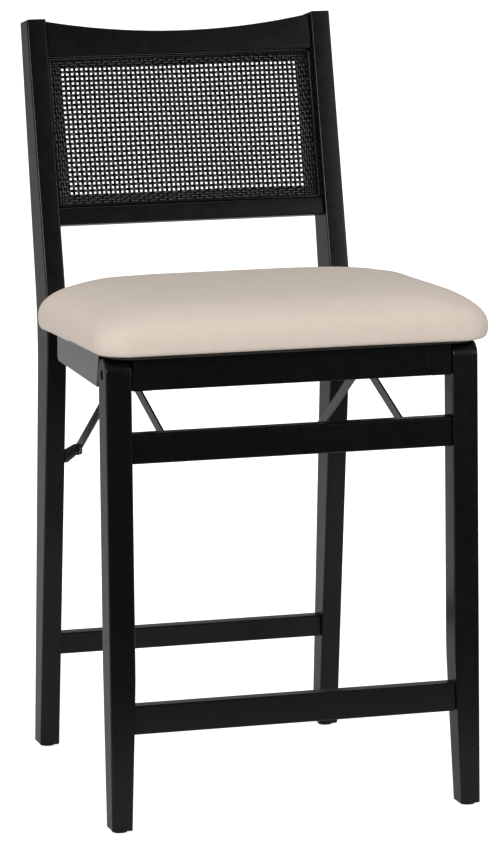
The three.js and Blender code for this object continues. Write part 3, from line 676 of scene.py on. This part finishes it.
def settled(x, y, z):
    """A point's height once the pad leans back, droops at rear corners and right, and eases in front."""
    length = (y - MID_Y) / HALF_DEPTH
    rise = (z - BOTTOM_Z) / (CROWN_Z - BOTTOM_Z)
    side = min(abs(x) / FRONT_HALF, 1.0)
    droop = REAR_DROOP if length > 0 else 0.0
    right = RIGHT_DROOP * max(x / FRONT_HALF, 0.0) ** 2 * (1 - rise)
    ease = FRONT_EASE * max(rise, 0.0) ** 4 * max(-length, 0.0) ** 3 * (1 - side ** 4)
    low = 1 - min(max(rise, 0.0), 1.0)
    return z - TILT * length - right - ease - droop * low ** 2.5 * side ** 4 * length ** 3


def dome(share):
    """How far the top has risen at a share of its shoulder, from 0 to 1."""
    return (1 - (1 - min(share, 1)) ** DOME_POWER) ** (1 / EDGE_POWER)


def cushion_start(shrink):
    """The sewn cover before it is filled: rings that run out along the underside and up to the crown."""
    rings = [(inset, 0.0, BOTTOM_Z) for inset in UNDERSIDE_INSETS]
    for step in range(EDGE_STEPS + 1):
        angle = math.pi / 2 * step / EDGE_STEPS
        height = BOTTOM_Z + (WIDEST_Z - BOTTOM_Z) * (1 - math.cos(angle))
        rings.append((TUCK * (1 - math.sin(angle)), 0.0, height))
    for step in range(1, TOP_STEPS + 1):
        inset = INNERMOST_RING * HALF_DEPTH * (step / TOP_STEPS) ** 2
        rise = (1 - SOFT_SHARE) * dome(inset / SHOULDER) + SOFT_SHARE * dome(inset / SOFT_SHOULDER)
        rings.append((inset, CORNER_GROWTH * inset, WIDEST_Z + (CROWN_Z - shrink - WIDEST_Z) * rise))
    verts = []
    around = 0
    for inset, growth, z in rings:
        plan = cushion_plan(inset + shrink, growth)
        around = len(plan)
        verts += [(x, y, settled(x, y, z)) for x, y in plan]
    low_middle = len(verts)
    verts.append((0, MID_Y, BOTTOM_Z))
    verts.append((0, MID_Y, CROWN_Z - shrink))
    faces = []
    for level in range(len(rings) - 1):
        for step in range(around):
            a = level * around + step
            b = level * around + (step + 1) % around
            faces.append((a, b, b + around, a + around))
    last = (len(rings) - 1) * around
    for step in range(around):
        after = (step + 1) % around
        faces.append((low_middle, after, step))
        faces.append((low_middle + 1, last + step, last + after))
    mesh = bpy.data.meshes.new("cushion_cover")
    mesh.from_pydata(verts, [], faces)
    mesh.update()
    return mesh


def only(piece):
    """Selects one piece alone and makes it the active one."""
    for other in bpy.context.selected_objects:
        other.select_set(False)
    piece.select_set(True)
    bpy.context.view_layer.objects.active = piece


def inflate(piece, cap):
    """Fills the cover with pressure, its underside held; points move only outward, no further than cap."""
    before = np.array([v.co for v in piece.data.vertices])
    held = piece.vertex_groups.new(name="held")
    for vertex in piece.data.vertices:
        above = vertex.co.z - settled(vertex.co.x, vertex.co.y, BOTTOM_Z)
        held.add([vertex.index], max(0.0, min(1.0, 1.0 - above / HELD_HEIGHT)), "REPLACE")
    cloth = piece.modifiers.new("cloth", "CLOTH")
    settings = cloth.settings
    settings.quality = 8
    settings.mass = 0.35
    settings.tension_stiffness = 22
    settings.compression_stiffness = 22
    settings.shear_stiffness = 12
    settings.bending_stiffness = 1.2
    settings.use_pressure = True
    settings.uniform_pressure_force = 4.0
    settings.effector_weights.gravity = 0
    settings.vertex_group_mass = "held"
    scene = bpy.context.scene
    scene.frame_start = 1
    scene.frame_end = SWELL_FRAMES
    for step in range(1, SWELL_FRAMES + 1):
        scene.frame_set(step)
    evaluated = piece.evaluated_get(bpy.context.evaluated_depsgraph_get())
    after = np.array([v.co for v in evaluated.data.vertices])
    piece.modifiers.remove(cloth)
    scene.frame_set(1)
    normals = np.array([v.normal for v in piece.data.vertices])
    outward = np.clip(((after - before) * normals).sum(axis=1), 0.0, cap)
    final = before + normals * outward[:, None]
    piece.data.vertices.foreach_set("co", final.astype(np.float32).ravel())
    piece.data.update()
    piece.vertex_groups.clear()


def block(name, plan, low, high):
    """A closed block over a plan, from one height to another."""
    bm = bmesh.new()
    bottom = [bm.verts.new((x, y, low)) for x, y in plan]
    top = [bm.verts.new((x, y, high)) for x, y in plan]
    count = len(plan)
    for step in range(count):
        after = (step + 1) % count
        bm.faces.new((bottom[step], bottom[after], top[after], top[step]))
    bm.faces.new(bottom[::-1])
    bm.faces.new(top)
    bmesh.ops.recalc_face_normals(bm, faces=bm.faces)
    mesh = bpy.data.meshes.new(name)
    bm.to_mesh(mesh)
    bm.free()
    cutter = bpy.data.objects.new(name, mesh)
    bpy.context.scene.collection.objects.link(cutter)
    return cutter


def hollow(piece, cutter):
    """Takes a block out of the underside."""
    cut = piece.modifiers.new("pocket", "BOOLEAN")
    cut.operation = "DIFFERENCE"
    cut.object = cutter
    cut.solver = "EXACT"
    only(piece)
    bpy.ops.object.modifier_apply(modifier=cut.name)
    bpy.data.objects.remove(cutter)


def soften(piece, rounds, low, high):
    """Evens out the surface: fully above high and less down to low, or everywhere if they are equal."""
    rising = piece.vertex_groups.new(name="rising")
    for vertex in piece.data.vertices:
        share = (vertex.co.z - low) / (high - low) if high > low else 1.0
        rising.add([vertex.index], max(0.0, min(1.0, share)), "REPLACE")
    even = piece.modifiers.new("even", "SMOOTH")
    even.factor = 0.5
    even.iterations = rounds
    even.vertex_group = rising.name
    only(piece)
    bpy.ops.object.modifier_apply(modifier=even.name)
    piece.vertex_groups.clear()


def draw_out(piece):
    """Brings the plan back to the size that the cover is sewn to."""
    points = np.array([v.co for v in piece.data.vertices])
    low, high = points.min(axis=0), points.max(axis=0)
    points[:, 0] *= 2 * FRONT_HALF / (high[0] - low[0])
    points[:, 1] = MID_Y + (points[:, 1] - (low[1] + high[1]) / 2) * 2 * HALF_DEPTH / (high[1] - low[1])
    piece.data.vertices.foreach_set("co", points.astype(np.float32).ravel())
    piece.data.update()


def make_cushion():
    """The pad, from its sewn cover to the pockets for the board and the seat frame."""
    mesh = cushion_start(SEWN_SMALLER)
    piece = bpy.data.objects.new("cushion_padded", mesh)
    bpy.context.scene.collection.objects.link(piece)
    only(piece)
    remesh = piece.modifiers.new("remesh", "REMESH")
    remesh.mode = "VOXEL"
    remesh.voxel_size = VOXEL
    bpy.ops.object.modifier_apply(modifier=remesh.name)
    inflate(piece, SWELL_CAP)
    soften(piece, EVEN_ROUNDS, 0.0, 0.0)
    soften(piece, CROWN_ROUNDS, CROWN_LOW, CROWN_HIGH)
    draw_out(piece)
    finer = piece.modifiers.new("finer", "SUBSURF")
    finer.levels = 1
    finer.render_levels = 1
    bpy.ops.object.modifier_apply(modifier=finer.name)
    board_plan = cushion_plan(BOARD_INSET - BOARD_CLEARANCE, 0.0)
    hollow(piece, block("board_pocket", board_plan, POCKET_DEPTH, BOARD_TOP + BOARD_HEADROOM))
    over = [(FRAME_HALF, FRAME_REAR), (-FRAME_HALF, FRAME_REAR),
            (-FRAME_HALF, POCKET_FRONT), (FRAME_HALF, POCKET_FRONT)]
    hollow(piece, block("frame_pocket", over, POCKET_DEPTH, BOARD_BOTTOM))
    smooth(piece.data, CLOTH_ANGLE)
    piece.data.materials.clear()
    piece.data.materials.append(linen)
    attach(piece, "seat")
    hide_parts("cushion")


make_cushion()


# Studio: a white floor that starts half a metre in front of the stool and runs on behind it
FLOOR_COLUMNS = (-12.0, -5.0, -2.0, -0.8, 0.0, 0.8, 2.0, 5.0, 12.0)
FLOOR_ROWS = (-0.75, -0.42, -0.2, 0.0, 0.3, 0.8, 2.0, 5.0, 14.0)
FLOOR_GREY = 0.8
FLOOR_GREY_LOSS = 0.12
GLOW_NEAR, GLOW_FAR = 0.74, 1.0
GLOW_START, GLOW_END = 0.45, 1.3
GLOW_IN_GLOSS = 0.03
ROOM_BEHIND = 0.275
ROOM_IN_FRONT = 0.022
ROOM_TURN = 0.45
SKY_LEVEL = 0.45
WHITE = (1, 1, 1, 1)
AIM = (0, 0, 0.5)
LAMPS = (
    ("key", (-3.0, -3.1, 1.8), (1.8, 1.8), 107),
    ("fill", (2.8, -3.2, 1.5), (1.6, 1.8), 48),
    ("top", (0.2, 0.6, 3.2), (2.0, 2.0), 13),
)


def make_floor():
    """A pale floor that glows to the camera, more so further out, and is darker in reflections."""
    bm = bmesh.new()
    grid = [[bm.verts.new((x, y, 0)) for x in FLOOR_COLUMNS] for y in FLOOR_ROWS]
    for low, high in zip(grid, grid[1:]):
        for k in range(len(FLOOR_COLUMNS) - 1):
            bm.faces.new((low[k], low[k + 1], high[k + 1], high[k]))
    mesh = bpy.data.meshes.new("floor")
    bm.to_mesh(mesh)
    bm.free()
    floor = bpy.data.objects.new("floor", mesh)
    bpy.context.scene.collection.objects.link(floor)
    material, n = new_material("pale_floor")
    rays = n.add("ShaderNodeLightPath").outputs
    place = n.add("ShaderNodeTexCoord").outputs["Object"]
    away = n.add("ShaderNodeVectorMath", {"operation": "LENGTH"})
    n.put(away, 0, place)
    far = n.range(away.outputs["Value"], GLOW_START, GLOW_END, GLOW_NEAR, GLOW_FAR)
    diffuse = n.add("ShaderNodeBsdfDiffuse")
    loss = n.math("MULTIPLY", rays["Is Glossy Ray"], FLOOR_GREY_LOSS)
    n.put(diffuse, 0, n.math("SUBTRACT", FLOOR_GREY, loss))
    glow = n.add("ShaderNodeEmission")
    glow.inputs[0].default_value = WHITE
    seen = n.math("ADD", rays["Is Camera Ray"], n.math("MULTIPLY", rays["Is Glossy Ray"], GLOW_IN_GLOSS))
    n.put(glow, "Strength", n.math("MULTIPLY", seen, far))
    both = n.add("ShaderNodeAddShader")
    n.put(both, 0, diffuse.outputs[0])
    n.put(both, 1, glow.outputs[0])
    n.finish(both.outputs[0])
    mesh.materials.append(material)


def make_world():
    """White to the camera; in reflections, pale behind the object and dark in front of it."""
    world = bpy.data.worlds.new("studio")
    bpy.context.scene.world = world
    n = Nodes(world)
    rays = n.add("ShaderNodeLightPath").outputs
    direction = n.add("ShaderNodeTexCoord").outputs["Generated"]
    split = n.add("ShaderNodeSeparateXYZ", Vector=direction)
    behind = n.range(split.outputs[1], -ROOM_TURN, ROOM_TURN, 0.0, 1.0)
    room = n.math("ADD", n.math("MULTIPLY", behind, ROOM_BEHIND), ROOM_IN_FRONT)
    sky = n.math("ADD", n.math("MULTIPLY", rays["Is Glossy Ray"], room),
                 n.math("MULTIPLY", rays["Is Diffuse Ray"], SKY_LEVEL))
    strength = n.math("MINIMUM", n.math("ADD", sky, rays["Is Camera Ray"]), 1.0)
    background = n.add("ShaderNodeBackground")
    background.inputs[0].default_value = WHITE
    n.put(background, "Strength", strength)
    out = n.add("ShaderNodeOutputWorld")
    n.tree.links.new(background.outputs[0], out.inputs[0])


def area_light(name, place, size, power):
    """A soft rectangular lamp, aimed at about the middle of the object."""
    data = bpy.data.lights.new(name, "AREA")
    data.shape = "RECTANGLE"
    data.size = size[0]
    data.size_y = size[1]
    data.energy = power
    light = bpy.data.objects.new(name, data)
    bpy.context.scene.collection.objects.link(light)
    light.location = place
    light.rotation_euler = (Vector(AIM) - Vector(place)).to_track_quat("-Z", "Y").to_euler()


make_floor()
make_world()
for lamp in LAMPS:
    area_light(*lamp)
bpy.context.scene.view_settings.view_transform = "Standard"
